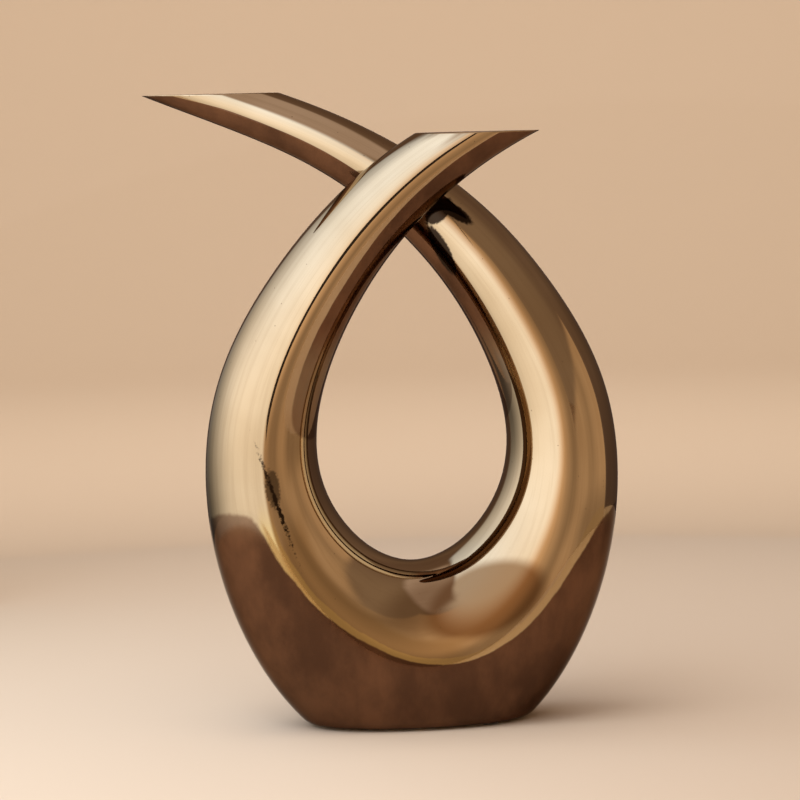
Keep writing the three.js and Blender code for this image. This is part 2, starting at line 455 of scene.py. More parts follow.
def bronze_finish(name, wave, peel, smooth, rough, wear):
    """Metallic glaze; smooth and rough are the two ends of its roughness."""
    finish, tree, shader = new_finish(name)
    flow = place_group(tree, ripple, **{"Wave": wave, "Peel": peel})
    painted_light = place_group(tree, painted_reflection)
    lines = place_group(tree, hairlines)["Lines"]
    pits = place_group(tree, specks)["Mask"]
    rubbed = place_group(tree, rim_wear, **{"Amount": wear})["Mask"]
    drift = remap(tree, flow["Cloud"], *DRIFT_STEP)
    brown = mix_colour(tree, painted_light["Mottled Reflection"], PAINTED_REFLECTION_BROWN, PAINTED_REFLECTION_DARK)
    colour = mix_colour(tree, drift, PALE_BRONZE, DEEP_BRONZE)
    colour = mix_colour(tree, times(tree, lines, LINE_SHARE), colour, LINE_BRONZE)
    # Painted darker reflection in the bowl.
    colour = add_marks(tree, colour, PAINTED_BOWL_MARKS, PAINTED_BOWL_DARK)
    # Painted reflection and painted highlight along the border of the brown.
    colour = mix_colour(tree, painted_light["Verge"], colour, PAINTED_REFLECTION_GOLD)
    colour = mix_colour(tree, times(tree, painted_light["Strip"], PAINTED_HIGHLIGHT_SHARE), colour, PAINTED_HIGHLIGHT_GOLD)
    # The painted dark reflection of the undersides.
    colour = mix_colour(tree, painted_light["Mask"], colour, brown)
    # Painted shade under the crossing and painted dark reflection lines.
    colour = add_marks(tree, colour, PAINTED_DARK_MARKS, PAINTED_SHADE_DARK)
    colour = mix_colour(tree, rubbed, colour, WORN_BRONZE)
    colour = mix_colour(tree, pits, colour, SPECK_BROWN)
    plug(tree, shader.inputs["Base Color"], colour)
    dull = math_node(tree, "MAXIMUM", times(tree, painted_light["Mask"], BROWN_DULL), pits)
    dull = math_node(tree, "MAXIMUM", dull, times(tree, drift, DRIFT_DULL))
    plug(tree, shader.inputs["Roughness"], remap(tree, dull, 0.0, 1.0, smooth, rough))
    shader.inputs["Metallic"].default_value = 1.0
    shader.inputs["Specular Tint"].default_value = EDGE_TINT
    add_bump(tree, shader, flow["Height"])
    return finish


bronze = bronze_finish("bronze_glaze", wave=0.05, peel=0.0020, smooth=0.04, rough=0.12, wear=0.7)
slip_bronze = bronze_finish("slip_under_glaze", wave=0.12, peel=0.004, smooth=0.12, rough=0.26, wear=0.4)
print("made", bronze.name, "and", slip_bronze.name)

# %% [markdown]
# ## Bare clay and pressed felt
# The foot is wiped clean of glaze before firing, so the underside shows the
# pale biscuit clay, and four felt discs keep it off the table. Both are matt:
# the clay has a sandy grain, and the felt has a sheen of loose fibres.

# %% Matt finishes


def matt_finish(name, dark, pale, grain_scale, blotch_scale, relief, roughness):
    """A matt surface that drifts between two colours with its grain."""
    finish, tree, shader = new_finish(name)
    rub = place_group(
        tree, matt_grain,
        **{"Grain Scale": grain_scale, "Blotch Scale": blotch_scale, "Relief": relief},
    )
    plug(tree, shader.inputs["Base Color"], mix_colour(tree, rub["Tint"], dark, pale))
    shader.inputs["Roughness"].default_value = roughness
    add_bump(tree, shader, rub["Height"])
    return finish, shader


clay, _ = matt_finish(
    "biscuit_clay", (0.50, 0.40, 0.31, 1), (0.64, 0.54, 0.44, 1),
    grain_scale=1100.0, blotch_scale=70.0, relief=0.12, roughness=0.85,
)
felt, felt_shader = matt_finish(
    "pressed_felt", (0.045, 0.032, 0.024, 1), (0.11, 0.08, 0.06, 1),
    grain_scale=2600.0, blotch_scale=400.0, relief=0.25, roughness=0.95,
)
felt_shader.inputs["Sheen Weight"].default_value = 0.4
print("made", clay.name, "and", felt.name)

# %% [markdown]
# ## The ribbon between two rails
# The form could be a curve with a bevel, but its section changes from a deep
# oval at the foot to a slim one in the horns, and the loop's inside turns
# much tighter than its outside. So it is drawn the way a template maker
# would: one rail for the outer edge, one for the inner edge, and an oval
# between them. Each row of the table has outer x and z, inner x and z, the
# sideways place y and the oval's depth, in millimetres from the loop's axis.
# The rows steer a cubic B-spline, and the left limb is the right one turned
# half a turn about that axis.

# %% The two rails
HALF_TURN = np.array([-1, 1, -1, 1, -1, 1])
FRONT_ARM = np.array([
    [277, 423, 293, 427.5, -26.5, 4],
    [160.5, 402.5, 174.5, 390, -26.5, 13],
    [57.5, 384, 75.5, 358.5, -26.5, 35],
    [-25.5, 341, 2.5, 306, -26.5, 53.5],
    [-88, 270, -43, 237.5, -24.5, 66],
])
RIGHT_LIMB = np.array([
    [61.5, -12.5, 11.5, 99.5, 5, 88],
    [104.5, 46.5, 31, 109, 10, 86],
    [127, 122, 53.5, 137.5, 15, 82],
    [123.5, 202, 60.5, 179.5, 20, 76],
])
REAR_ARM = np.array([
    [86, 267.5, 39.5, 238, 24.5, 66],
    [37.5, 324, 3.5, 290.5, 26.5, 55.5],
    [-47.5, 375.5, -59.5, 344, 26.5, 41],
    [-167, 409.5, -168, 381.5, 26.5, 31],
    [-316, 426.5, -293, 445, 26.5, 14],
])
FOOT_ROW = np.array([[0, -33.5, 0, 98, 0, 88.5]])
LEFT_LIMB = (RIGHT_LIMB * HALF_TURN)[::-1]
ribbon = np.vstack([FRONT_ARM, LEFT_LIMB, FOOT_ROW, RIGHT_LIMB, REAR_ARM])
left_box, right_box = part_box("felt_foot_front_left"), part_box("felt_foot_front_right")
axis_x = (left_box[0][0] + right_box[1][0]) / 2
print(len(ribbon), "rows; the loop's axis is at x =", round(axis_x, 5), "m")

# %% [markdown]
# ## Points and normals on the skin
# A place on the skin is a span, which counts along the ribbon, and an angle
# round the oval: 0 is on the outer rail and half a turn is on the inner one.
# The same formula gives the direction along the ribbon and, by a cross
# product, an exact normal. Exact normals matter here, because a mirror shows
# every facet that a guessed normal would leave. The CAD solids have flat
# facets whose middles lie a quarter of a millimetre inside the ribbon, so the
# smooth skin is drawn that much inside too, and never leaves the CAD box.

# %% The skin as a formula
SKIN_INSET, SIDES, FOOT_SPAN = 0.26, 96, 8.0
ACROSS = np.array([0.0, 1.0, 0.0])


def blend_rows(span, slope=False):
    """The B-spline's row at each span, or how fast that row changes."""
    first = np.clip(np.floor(span).astype(int), 0, len(ribbon) - 4)
    u = span - first
    if slope:
        weights = [-(1 - u) ** 2 / 2, (3 * u * u - 4 * u) / 2, (-3 * u * u + 2 * u + 1) / 2, u * u / 2]
    else:
        weights = [
            (1 - u) ** 3 / 6, (3 * u**3 - 6 * u * u + 4) / 6,
            (-3 * u**3 + 3 * u * u + 3 * u + 1) / 6, u**3 / 6,
        ]
    return sum(w[..., None] * ribbon[first + k] for k, w in enumerate(weights))


def unit(vectors):
    """Vectors of length 1."""
    return vectors / np.linalg.norm(vectors, axis=-1, keepdims=True)


def rails(row):
    """Splits a row into the oval's middle and half height as points, and its half depth."""
    outer = np.stack([row[..., 0], row[..., 4], row[..., 1]], -1)
    inner = np.stack([row[..., 2], row[..., 4], row[..., 3]], -1)
    return (outer + inner) / 2, (outer - inner) / 2, row[..., 5:6] / 2


def skin(span, angle, grow=-SKIN_INSET):
    """Points, outward normals and lengthwise directions; grow moves the skin out by that much."""
    middle, half, depth = rails(blend_rows(span))
    middle_slope, half_slope, depth_slope = rails(blend_rows(span, slope=True))
    cos, sin = np.cos(angle)[..., None], np.sin(angle)[..., None]
    points = middle + (half + grow * unit(half)) * cos + (depth + grow) * sin * ACROSS
    along = middle_slope + half_slope * cos + depth_slope * sin * ACROSS
    around = depth * cos * ACROSS - half * sin
    return points, unit(np.cross(around, along)), along


angles = np.arange(SIDES) * 2 * np.pi / SIDES
foot_points = skin(np.full(SIDES, FOOT_SPAN), angles)[0]
_, foot_depth, foot_height = np.ptp(foot_points, axis=0).round(1)
print("section over the foot, mm:", foot_depth, "deep,", foot_height, "high")

# %% [markdown]
# ## Where the cuts fall
# The castings end at level planes: the two seams and the two horn cuts. Each
# lengthwise line of the skin meets a plane at its own span, and halving an
# interval over and over finds that span as closely as we like. Ending the
# rows of faces exactly there keeps the cuts straight without a Boolean.

# %% Trim finder
SEAM_Z, FRONT_CUT_Z, REAR_CUT_Z = 159.5, 355.0, 381.0
FRONT_CUT_SPANS, FRONT_SEAM_SPANS = (0.2, 3.0), (3.5, 5.2)
REAR_SEAM_SPANS, REAR_CUT_SPANS = (10.8, 12.5), (13.0, 16.0)
HALVINGS = 50


def halve(test, search, shape):
    """Closes in on the spans, between two ends of a search, where a test changes its answer."""
    low, high = np.full(shape, search[0]), np.full(shape, search[1])
    at_high = test(high)
    for _ in range(HALVINGS):
        middle = (low + high) / 2
        past = test(middle) == at_high
        low, high = np.where(past, low, middle), np.where(past, middle, high)
    return (low + high) / 2


def span_at(height, search, grow=-SKIN_INSET):
    """The span at which each lengthwise line passes a height, looked for between two spans."""
    return halve(lambda span: skin(span, angles, grow)[0][:, 2] > height, search, SIDES)


front_cut = span_at(FRONT_CUT_Z, FRONT_CUT_SPANS)
front_seam = span_at(SEAM_Z, FRONT_SEAM_SPANS)
rear_seam = span_at(SEAM_Z, REAR_SEAM_SPANS)
rear_cut = span_at(REAR_CUT_Z, REAR_CUT_SPANS)
trims = {"front horn": front_cut, "front seam": front_seam, "rear seam": rear_seam, "rear horn": rear_cut}
for label, spans in trims.items():
    print(label, "spans", spans.min().round(3), "to", spans.max().round(3))

# %% [markdown]
# ## A draft that becomes a mesh
# The castings are rings of points joined by bands of faces. The draft keeps
# the points with their normals, turns each face the right way out, and
# stores the exact normals on the mesh as custom normals. Faces marked flat
# keep their own normal, for the sliced and hidden faces. Each ring also notes
# whether it lies on a rim, and where it lies round and along the ribbon: the
# wear reads the first and the hairlines read the second.

# %% The draft


class Draft:
    """Rings of points and the bands of faces between them."""

    def __init__(self):
        self.points, self.normals, self.rims, self.grains = [], [], [], []
        self.faces, self.finishes, self.flat = [], [], []

    def ring(self, points, normals, rim=0.0, grain=0.0):
        """Adds points in order and returns their numbers."""
        first = len(self.points)
        self.points.extend(points)
        self.normals.extend(np.broadcast_to(normals, np.shape(points)))
        self.rims.extend([rim] * len(points))
        self.grains.extend(np.broadcast_to(grain, np.shape(points)))
        return list(range(first, len(self.points)))

    def face(self, corners, finish=0, flat=False):
        """Adds one face by the numbers of its corners."""
        self.faces.append(corners)
        self.finishes.append(finish)
        self.flat.append(flat)

    def band(self, lower, upper, finish=0, flat=False, skip=()):
        """Joins two rings by four-sided faces, all but those in skip; finish may vary by face."""
        finish = np.broadcast_to(finish, len(lower)).tolist()
        for k in range(len(lower)):
            if k not in skip:
                n = (k + 1) % len(lower)
                self.face((lower[k], lower[n], upper[n], upper[k]), finish[k], flat)

    def bands(self, rings):
        """Joins each ring to the next one."""
        for lower, upper in zip(rings, rings[1:]):
            self.band(lower, upper)

    def close(self, ring, finish=0):
        """Fills a ring with flat rungs from side to side."""
        for k in range(len(ring) // 2):
            corners = [ring[k], ring[k + 1], ring[-k - 1], ring[-k]]
            self.face(tuple(dict.fromkeys(corners)), finish, True)

    def make(self, name, finishes):
        """Builds the mesh object, shaded by the draft's normals."""
        points, normals = np.array(self.points), unit(np.array(self.normals))
        faces, corner_normals = [], []
        for face, flat in zip(self.faces, self.flat):
            corners = points[list(face)]
            own = np.cross(corners[2] - corners[0], corners[-1] - corners[1])
            wanted = normals[list(face)]
            if own @ wanted.sum(0) < 0:
                face, own, wanted = face[::-1], -own, wanted[::-1]
            faces.append(face)
            corner_normals.extend([unit(own)] * len(face) if flat else wanted)
        mesh = bpy.data.meshes.new(name)
        mesh.from_pydata(points * MM + (axis_x, 0, 0), [], faces)
        for finish in finishes:
            mesh.materials.append(finish)
        mesh.polygons.foreach_set("material_index", self.finishes)
        mesh.polygons.foreach_set("use_smooth", [not flat for flat in self.flat])
        mesh.attributes.new("rim", "FLOAT", "POINT").data.foreach_set("value", self.rims)
        grains = mesh.attributes.new("grain", "FLOAT_VECTOR", "POINT")
        grains.data.foreach_set("vector", np.ravel(self.grains))
        mesh.normals_split_custom_set(corner_normals)
        piece = bpy.data.objects.new(name, mesh)
        bpy.context.collection.objects.link(piece)
        print(name, "has", len(faces), "faces")
        return piece


print("a ring has", SIDES, "points")

# %% [markdown]
# ## The loop casting
# This is a little under half of the height: from one seam down the left limb,
# over the foot and up the right limb to the other seam. The foot is pressed
# flat while the clay is soft, so instead of a hard slice the skin is eased
# onto the foot plane: a smooth curve maps any height under the foot to the
# plane itself, and the normals follow the same map. A gap is left under the
# foot for the pour hole.

# %% Outer skin of the loop
FOOT_Z, FOOT_ROUND, WALL = 1.5, 3.2, 6.0
LIMB_ROWS, HOLE_ROWS, HOLE_SIDES = 76, 6, 5
GRAIN_ROUND, GRAIN_RUN = 9.0, 0.5
BRONZE, CLAY = 0, 1
middle_row = LIMB_ROWS - 1
hole_rows = range(middle_row - HOLE_ROWS, middle_row + HOLE_ROWS)
hole_sides = {k % SIDES for k in range(-HOLE_SIDES, HOLE_SIDES)}


def spread(start, stop, count):
    """Rows of spans from one end to the other."""
    return start + (stop - start) * np.linspace(0, 1, count)[:, None]


def grain_at(span):
    """Where a ring of points lies round and along the ribbon, for the hairlines."""
    run = np.broadcast_to(span, angles.shape) * GRAIN_RUN
    return np.stack([GRAIN_ROUND * np.cos(angles), GRAIN_ROUND * np.sin(angles), run], -1)


def press(points, normals, level, rounding):
    """Presses everything under a level onto it; also says how much slope is left at each point."""
    step = (points[..., 2] - level) / rounding
    slope = np.clip((step + 1) / 2, 0, 1)
    eased = np.where(step > 1, step, slope**2)
    pressed, turned = points.copy(), normals.copy()
    pressed[..., 2] = level + rounding * eased
    turned[..., :2] *= slope[..., None]
    return pressed, unit(turned), slope


def limb_rings(draft, grow, level, rounding, outward):
    """Adds a pressed skin from seam to seam, with one row right over the foot."""
    start, stop = span_at(SEAM_Z, FRONT_SEAM_SPANS, grow), span_at(SEAM_Z, REAR_SEAM_SPANS, grow)
    spans = np.vstack([spread(start, FOOT_SPAN, LIMB_ROWS), spread(FOOT_SPAN, stop, LIMB_ROWS)[1:]])
    points, normals, _ = skin(spans, angles[None, :], grow)
    points, normals, slope = press(points, normals, level, rounding)
    normals = normals if outward else -normals
    rings = [draft.ring(p, n, grain=grain_at(s)) for p, n, s in zip(points, normals, spans)]
    for row, (lower, upper) in enumerate(zip(rings, rings[1:])):
        bare = slope[row : row + 2].max(0) == 0
        bare &= np.roll(bare, -1)
        finish = np.where(bare | (not outward), CLAY, BRONZE)
        draft.band(lower, upper, finish, skip=hole_sides if row in hole_rows else ())
    return rings


loop_draft = Draft()
outer = limb_rings(loop_draft, -SKIN_INSET, FOOT_Z, FOOT_ROUND, True)
print("outer skin of the loop:", len(outer), "rings")

# %% [markdown]
# ## Hollow, pour hole and seams
# Slip casting leaves a hollow: clay slip is poured in through a hole in the
# foot, settles on the plaster as a wall about 6 mm thick, and the rest is
# poured out. The hole stays as the vent for firing. The hollow is the same
# skin grown inward; a ring of faces joins both skins at each seam, and
# another leads from the foot through the hole.

# %% Inside of the loop
HOLE_RADIUS, HOLE_BEVEL, HOLLOW_ROUND = 10.0, 0.8, 1.5
DOWN, UP = np.array([0.0, 0.0, -1.0]), np.array([0.0, 0.0, 1.0])
inner = limb_rings(loop_draft, -WALL, FOOT_Z + WALL, HOLLOW_ROUND, False)


def hole_border(rings):
    """The points round the gap under the foot, in order."""
    rows = range(middle_row - HOLE_ROWS, middle_row + HOLE_ROWS + 1)
    sides = range(-HOLE_SIDES, HOLE_SIDES + 1)
    places = [(rows[0], s) for s in sides] + [(r, sides[-1]) for r in rows[1:]]
    places += [(rows[-1], s) for s in sides[-2::-1]] + [(r, sides[0]) for r in rows[-2:0:-1]]
    return [rings[r][s % SIDES] for r, s in places]


under, over = hole_border(outer), hole_border(inner)
border = np.array([loop_draft.points[k] for k in under])
turn = np.arctan2(border[:, 1], border[:, 0])


def hole_ring(radius, height):
    """A ring of the pour hole, with a point at the same bearing as each border point."""
    flat_ring = np.stack([np.cos(turn), np.sin(turn), np.zeros_like(turn)], -1)
    return loop_draft.ring(flat_ring * radius + height * UP, -flat_ring)


lip = hole_ring(HOLE_RADIUS + HOLE_BEVEL, FOOT_Z)
mouth = hole_ring(HOLE_RADIUS, FOOT_Z + HOLE_BEVEL)
throat = hole_ring(HOLE_RADIUS, FOOT_Z + WALL)
for k in lip:
    loop_draft.normals[k] = DOWN
hole_bands = ((under, lip, True), (lip, mouth, False), (mouth, throat, False), (throat, over, True))
for lower, upper, flat in hole_bands:
    loop_draft.band(lower, upper, CLAY, flat)
for end in (0, -1):
    loop_draft.band(outer[end], inner[end], CLAY, True)
print("pour hole ring has", len(lip), "points")

# %% [markdown]
# ## A closed casting
# Faces that lie flat need a normal to be turned by. The seam rings and the
# floor round the hole take theirs from their neighbours, so after the mesh is
# made we check that it is closed: every edge must belong to two faces.

# %% Make the loop


def open_edges(piece):
    """Counts the edges that don't have exactly two faces."""
    uses = {}
    for face in piece.data.polygons:
        for key in face.edge_keys:
            uses[key] = uses.get(key, 0) + 1
    return sum(1 for n in uses.values() if n != 2)


loop = loop_draft.make("loop_skin", [bronze, clay])
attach(loop, "root")
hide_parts("loop_body")
print("open edges:", open_edges(loop))

# %% [markdown]
# ## Horn ends
# Each arm ends in a level slice whose rim is rubbed soft before glazing. A
# Bevel modifier would struggle at the needle-sharp tip, so the rim is drawn
# with a small curve at every angle: it leaves the skin just under a
# millimetre before the cut, bends towards the corner, and lands on the flat
# face.

# %% Rim of a sliced horn
RIM, RIM_STEPS = 0.9, 5


def bend(start, corner, stop, u):
    """The place at a share u of a curve from start to stop that bends towards a corner."""
    return (1 - u) ** 2 * start + 2 * u * (1 - u) * corner + u * u * stop


def sliced_rim(cut, height, inward):
    """Spans at which the skin stops, and the rows of points and normals that round the rim."""
    edge, _, along = skin(cut, angles)
    run = unit(np.roll(edge, -1, 0) - np.roll(edge, 1, 0))
    down = along * inward
    down = down - (down * run).sum(1, keepdims=True) * run
    stop = cut + inward * RIM / np.linalg.norm(down, axis=1)
    start, start_normals, _ = skin(stop, angles)
    corner = start - RIM * unit(down)
    corner[:, 2] = height
    side = unit(np.cross(UP, run))
    side *= np.sign((side * (edge.mean(0) - edge)).sum(1, keepdims=True))
    landing = corner + RIM * side
    rows = []
    for u in np.linspace(0, 1, RIM_STEPS + 1)[1:]:
        pull = (1 - u) * (corner - start) + u * (landing - corner)
        normals = np.cross(run, pull)
        guide = (1 - u) * start_normals + u * UP
        normals *= np.sign((normals * guide).sum(1, keepdims=True))
        rows.append((bend(start, corner, landing, u), unit(normals)))
    return stop, rows


front_stop, front_rim = sliced_rim(front_cut, FRONT_CUT_Z, 1)
rear_stop, rear_rim = sliced_rim(rear_cut, REAR_CUT_Z, -1)
print("front rim lands", front_rim[-1][0][:, 0].max().round(1), "mm from the axis")

# %% [markdown]
# ## The two arms
# Each arm is one casting from its seam to its horn. In the workshop the arms
# are luted to the loop with slip and the join is sponged away, so each arm's
# skin also covers its seam ring, and it starts on exactly the same ring of
# points where the loop's skin ends. With exact normals on both, no line shows.

# %% Make the arms
ARM_ROWS = 110


def make_arm(name, seam, stop, rim_rows):
    """Closes an arm with its rounded horn at one end and a flat seam face at the other."""
    draft = Draft()
    rings = []
    for row in spread(seam, stop, ARM_ROWS):
        points, normals, _ = skin(row, angles)
        rings.append(draft.ring(points, normals, grain=grain_at(row)))
    rings += [draft.ring(points, normals, rim=1.0) for points, normals in rim_rows]
    draft.bands(rings)
    draft.close(rings[0], CLAY)
    draft.close(rings[-1])
    return draft.make(name, [bronze, clay])


front = make_arm("front_arm_skin", front_seam, front_stop, front_rim)
rear = make_arm("rear_arm_skin", rear_seam, rear_stop, rear_rim)
arms = ((front, "front_arm", "front_arm_luting"), (rear, "rear_arm", "rear_arm_luting"))
for arm, node, ring_node in arms:
    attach(arm, "root")
    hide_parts(node, ring_node)
    print(arm.name, "open edges:", open_edges(arm))

# %% [markdown]
# ## Slip at the crossing
# Where the arms pass, a dab of slip joins them. Seen from the side it is a
# small web with a hollow rim, because wet slip draws up into the gap. Its two
# faces follow the skins of the arms, so each point needs the skin's y at a
# given x and z: we look for the span whose section passes through that point.

# %% Where an arm's skin lies
FRONT_CROSSING_SPANS, REAR_CROSSING_SPANS = (1.2, 3.4), (12.6, 14.8)
CROSSING_X, CROSSING_Z = -3.5, 321.0


def skin_y(x, z, search, side):
    """The y of an arm's skin straight behind (side 1) or before (side -1) a point."""

    def look(span):
        """How far the point is off the section at a span, and the skin's y there."""
        middle, half, depth = rails(blend_rows(span))
        offset = np.stack([x, middle[..., 1], z], -1) - middle
        twist = offset[..., 0] * half[..., 2] - offset[..., 2] * half[..., 0]
        reach = (offset * half).sum(-1) / (half * half).sum(-1)
        return twist, middle[..., 1] + side * depth[..., 0] * np.sqrt(np.clip(1 - reach**2, 0, 1))

    return look(halve(lambda span: look(span)[0] > 0, search, x.shape))[1]


def both_skins(x, z):
    """The y of the front arm's far side and of the rear arm's near side."""
    return skin_y(x, z, FRONT_CROSSING_SPANS, 1), skin_y(x, z, REAR_CROSSING_SPANS, -1)


near, far = both_skins(np.array([CROSSING_X]), np.array([CROSSING_Z]))
print("gap between the arms at the crossing, mm:", (far - near).round(2))

# %% [markdown]
# ## The slip web
# The web is drawn as circles about the crossing, on one arm's skin and on the
# other's. They bite half a millimetre into the arms, so no gap can show. The
# rim between the two outer circles is drawn in to a waist.

# %% Make the slip web
WEB_RADIUS, WEB_SIDES, WEB_RINGS, WEB_BITE = 9.0, 64, 6, 0.5
WAIST_SHARE, WAIST_LEAN, WAIST_STEPS = 0.45, 1.2, 8
web_turn = np.arange(WEB_SIDES) * 2 * np.pi / WEB_SIDES
radial = np.stack([np.cos(web_turn), np.zeros(WEB_SIDES), np.sin(web_turn)], -1)


def web_circle(radius):
    """Points on both arms' skins at one distance from the crossing."""
    x, z = CROSSING_X + radius * np.cos(web_turn), CROSSING_Z + radius * np.sin(web_turn)
    near, far = both_skins(x, z)
    return np.stack([x, near - WEB_BITE, z], -1), np.stack([x, far + WEB_BITE, z], -1)


web = Draft()
circles = [web_circle(WEB_RADIUS * k / WEB_RINGS) for k in range(1, WEB_RINGS + 1)]
rims = []
for arm_side, normal in enumerate((-ACROSS, ACROSS)):
    rings = [web.ring(circle[arm_side], normal) for circle in circles]
    web.close(rings[0])
    web.bands(rings)
    rims.append(rings[-1])
near_points, far_points = circles[-1]
width = np.linalg.norm(far_points - near_points, axis=1, keepdims=True)
waist = (near_points + far_points) / 2 - WAIST_SHARE * width * radial
drawn_in = [rims[0]]
for u in np.linspace(0, 1, WAIST_STEPS + 1)[1:-1]:
    lean = unit(radial - WAIST_LEAN * (2 * u - 1) * ACROSS)
    drawn_in.append(web.ring(bend(near_points, waist, far_points, u), lean))
web.bands([*drawn_in, rims[1]])
slip_web = web.make("crossing_slip", [slip_bronze])
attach(slip_web, "root")
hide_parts("crossing_luting")
print("rim width, mm:", width.min().round(1), "to", width.max().round(1))
print("open edges:", open_edges(slip_web))

# %% [markdown]
# ## Felt feet
# Four discs punched from pressed felt are stuck under the foot. A punched
# edge is never crisp: it bulges a little and its fibres stand out, so each
# disc is turned from a soft profile, and its radius wavers with a seeded
# random draw.

# %% Make the felt feet
FELT_SIDES, FELT_WAVER, FELT_SEED = 40, 0.02, 7
FELT_PROFILE = ((0.86, 0.0), (0.94, 0.10), (0.985, 0.34), (0.985, 0.62), (0.95, 0.88), (0.90, 1.0))
fibres = np.random.default_rng(FELT_SEED)
felt_turn = np.arange(FELT_SIDES) * 2 * np.pi / FELT_SIDES
felt_out = np.stack([np.cos(felt_turn), np.sin(felt_turn), np.zeros(FELT_SIDES)], -1)
for place in ("front_left", "back_left", "front_right", "back_right"):
    low, high = (np.array(corner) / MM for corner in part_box("felt_foot_" + place))
    middle, size = (low + high) / 2 - (axis_x / MM, 0, 0), high - low
    disc = Draft()
    rings = []
    for share, level in FELT_PROFILE:
        waver = 1 - FELT_WAVER * fibres.random((FELT_SIDES, 1))
        points = middle * (1, 1, 0) + felt_out * waver * share * size[0] / 2
        points[:, 2] = low[2] + level * size[2]
        rings.append(disc.ring(points, unit(felt_out + (2 * level - 1) * UP)))
    disc.bands(rings)
    disc.close(rings[0])
    disc.close(rings[-1])
    foot = disc.make("felt_disc_" + place, [felt])
    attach(foot, "root")
    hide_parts("felt_foot_" + place)

# %% [markdown]
# ## The camera
# The view is a long lens from two metres away, at about the height of the
# horns, looking down by five degrees and tipped sideways by just over one. A
# camera looks down its own negative Z, so its matrix has three columns:
# right, up and backwards.

# %% Set the camera
FOCAL_PIXELS, FRAME_PIXELS, SENSOR = 3270.0, 800.0, 36.0
DROP_PIXELS, ROLL = 290.5, math.radians(1.43)
CAMERA_LEFT, CAMERA_BACK, CAMERA_UP = 0.007, 1.957, 0.369
pitch = math.atan(DROP_PIXELS / FOCAL_PIXELS)
forward = np.array([0, math.cos(pitch), -math.sin(pitch)])
level_up = np.array([0, math.sin(pitch), math.cos(pitch)])
level_right = np.array([1.0, 0, 0])
right = level_right * math.cos(ROLL) - level_up * math.sin(ROLL)
up = level_up * math.cos(ROLL) + level_right * math.sin(ROLL)
lens = bpy.data.cameras.new("studio_camera")
lens.lens, lens.sensor_width = SENSOR * FOCAL_PIXELS / FRAME_PIXELS, SENSOR
camera = bpy.data.objects.new("studio_camera", lens)
bpy.context.collection.objects.link(camera)
pose = np.eye(4)
pose[:3, :3] = np.stack([right, up, -forward], -1)
pose[:3, 3] = axis_x - CAMERA_LEFT, -CAMERA_BACK, CAMERA_UP
camera.matrix_world = Matrix(pose.tolist())
bpy.context.scene.camera = camera
print("lens, mm:", round(lens.lens, 2))

# %% [markdown]
# ## Floor and backdrop
# A polished object is mostly a picture of its room, so the room is kept
# plain: one pale dish that runs flat under the object and curves up all
# round. It is turned from a profile, with no corner to show as a line.

# %% Make the dish
DISH_FLAT, DISH_RADIUS, DISH_SIDES = 2.6, 1.2, 96
DISH_COLOUR = (0.70, 0.58, 0.45, 1)
FLAT_RINGS, CURVE_RINGS = (0.5, 1.5), 16
profile = [(radius, 0.0) for radius in FLAT_RINGS]
for a in np.linspace(0, np.pi / 2, CURVE_RINGS):
    profile.append((DISH_FLAT + DISH_RADIUS * np.sin(a), DISH_RADIUS * (1 - np.cos(a))))
dish_turn = np.arange(DISH_SIDES) * 2 * np.pi / DISH_SIDES
dish_points, dish_faces = [], [tuple(range(DISH_SIDES))]
for radius, height in profile:
    dish_points += [(radius * np.cos(a), radius * np.sin(a), height) for a in dish_turn]
for ring in range(len(profile) - 1):
    for k in range(DISH_SIDES):
        a, b = ring * DISH_SIDES + k, ring * DISH_SIDES + (k + 1) % DISH_SIDES
        dish_faces.append((a, a + DISH_SIDES, b + DISH_SIDES, b))
dish_mesh = bpy.data.meshes.new("studio_dish")
dish_mesh.from_pydata(dish_points, [], dish_faces)
dish_mesh.polygons.foreach_set("use_smooth", [True] * len(dish_faces))
dish_finish, _, dish_shader = new_finish("studio_dish")
dish_shader.inputs["Base Color"].default_value = DISH_COLOUR
dish_shader.inputs["Roughness"].default_value = 0.9
dish_shader.inputs["Specular IOR Level"].default_value = 0.1
dish_mesh.materials.append(dish_finish)
dish = bpy.data.objects.new("studio_dish", dish_mesh)
bpy.context.collection.objects.link(dish)
print("dish reaches", DISH_FLAT + DISH_RADIUS, "m out")

# %% [markdown]
# ## Glowing cloth
# A photographer lights a polished thing by what it mirrors, not by where the
# lamp points. A rectangular area lamp would show as a rectangle with hard
# edges, so the light here is sheets of glowing cloth: meshes with an emission
# colour. Two numbers stored on each point say how much of the cloth is there
# and how brightly it shines, so a sheet can fade out at its edges. The camera
# doesn't see the sheets, and they throw no shadow. They are part of the
# studio, not of the object.

# %% Cloth and how it hangs
TINT_LOW, TINT_HIGH = 0.0, 0.9


def cloth_finish(name, low, high, one_sided=False):
    """Cloth that glows in one tint near the floor and in another one higher up."""
    finish, tree, shader = new_finish(name)
    up_cloth = remap(tree, split(tree, object_place(tree))["Z"], TINT_LOW, TINT_HIGH)
    plug(tree, shader.inputs["Emission Color"], mix_colour(tree, up_cloth, (*low, 1), (*high, 1)))
    shine = add_node(tree, "ShaderNodeAttribute", attribute_name="shine").outputs["Fac"]
    cover = add_node(tree, "ShaderNodeAttribute", attribute_name="cover").outputs["Fac"]
    if one_sided:
        back = add_node(tree, "ShaderNodeNewGeometry").outputs["Backfacing"]
        cover = math_node(tree, "SUBTRACT", cover, back, clamp=True)
    plug(tree, shader.inputs["Emission Strength"], shine)
    plug(tree, shader.inputs["Alpha"], cover)
    shader.inputs["Base Color"].default_value = (0, 0, 0, 1)
    shader.inputs["Specular IOR Level"].default_value = 0.0
    return finish


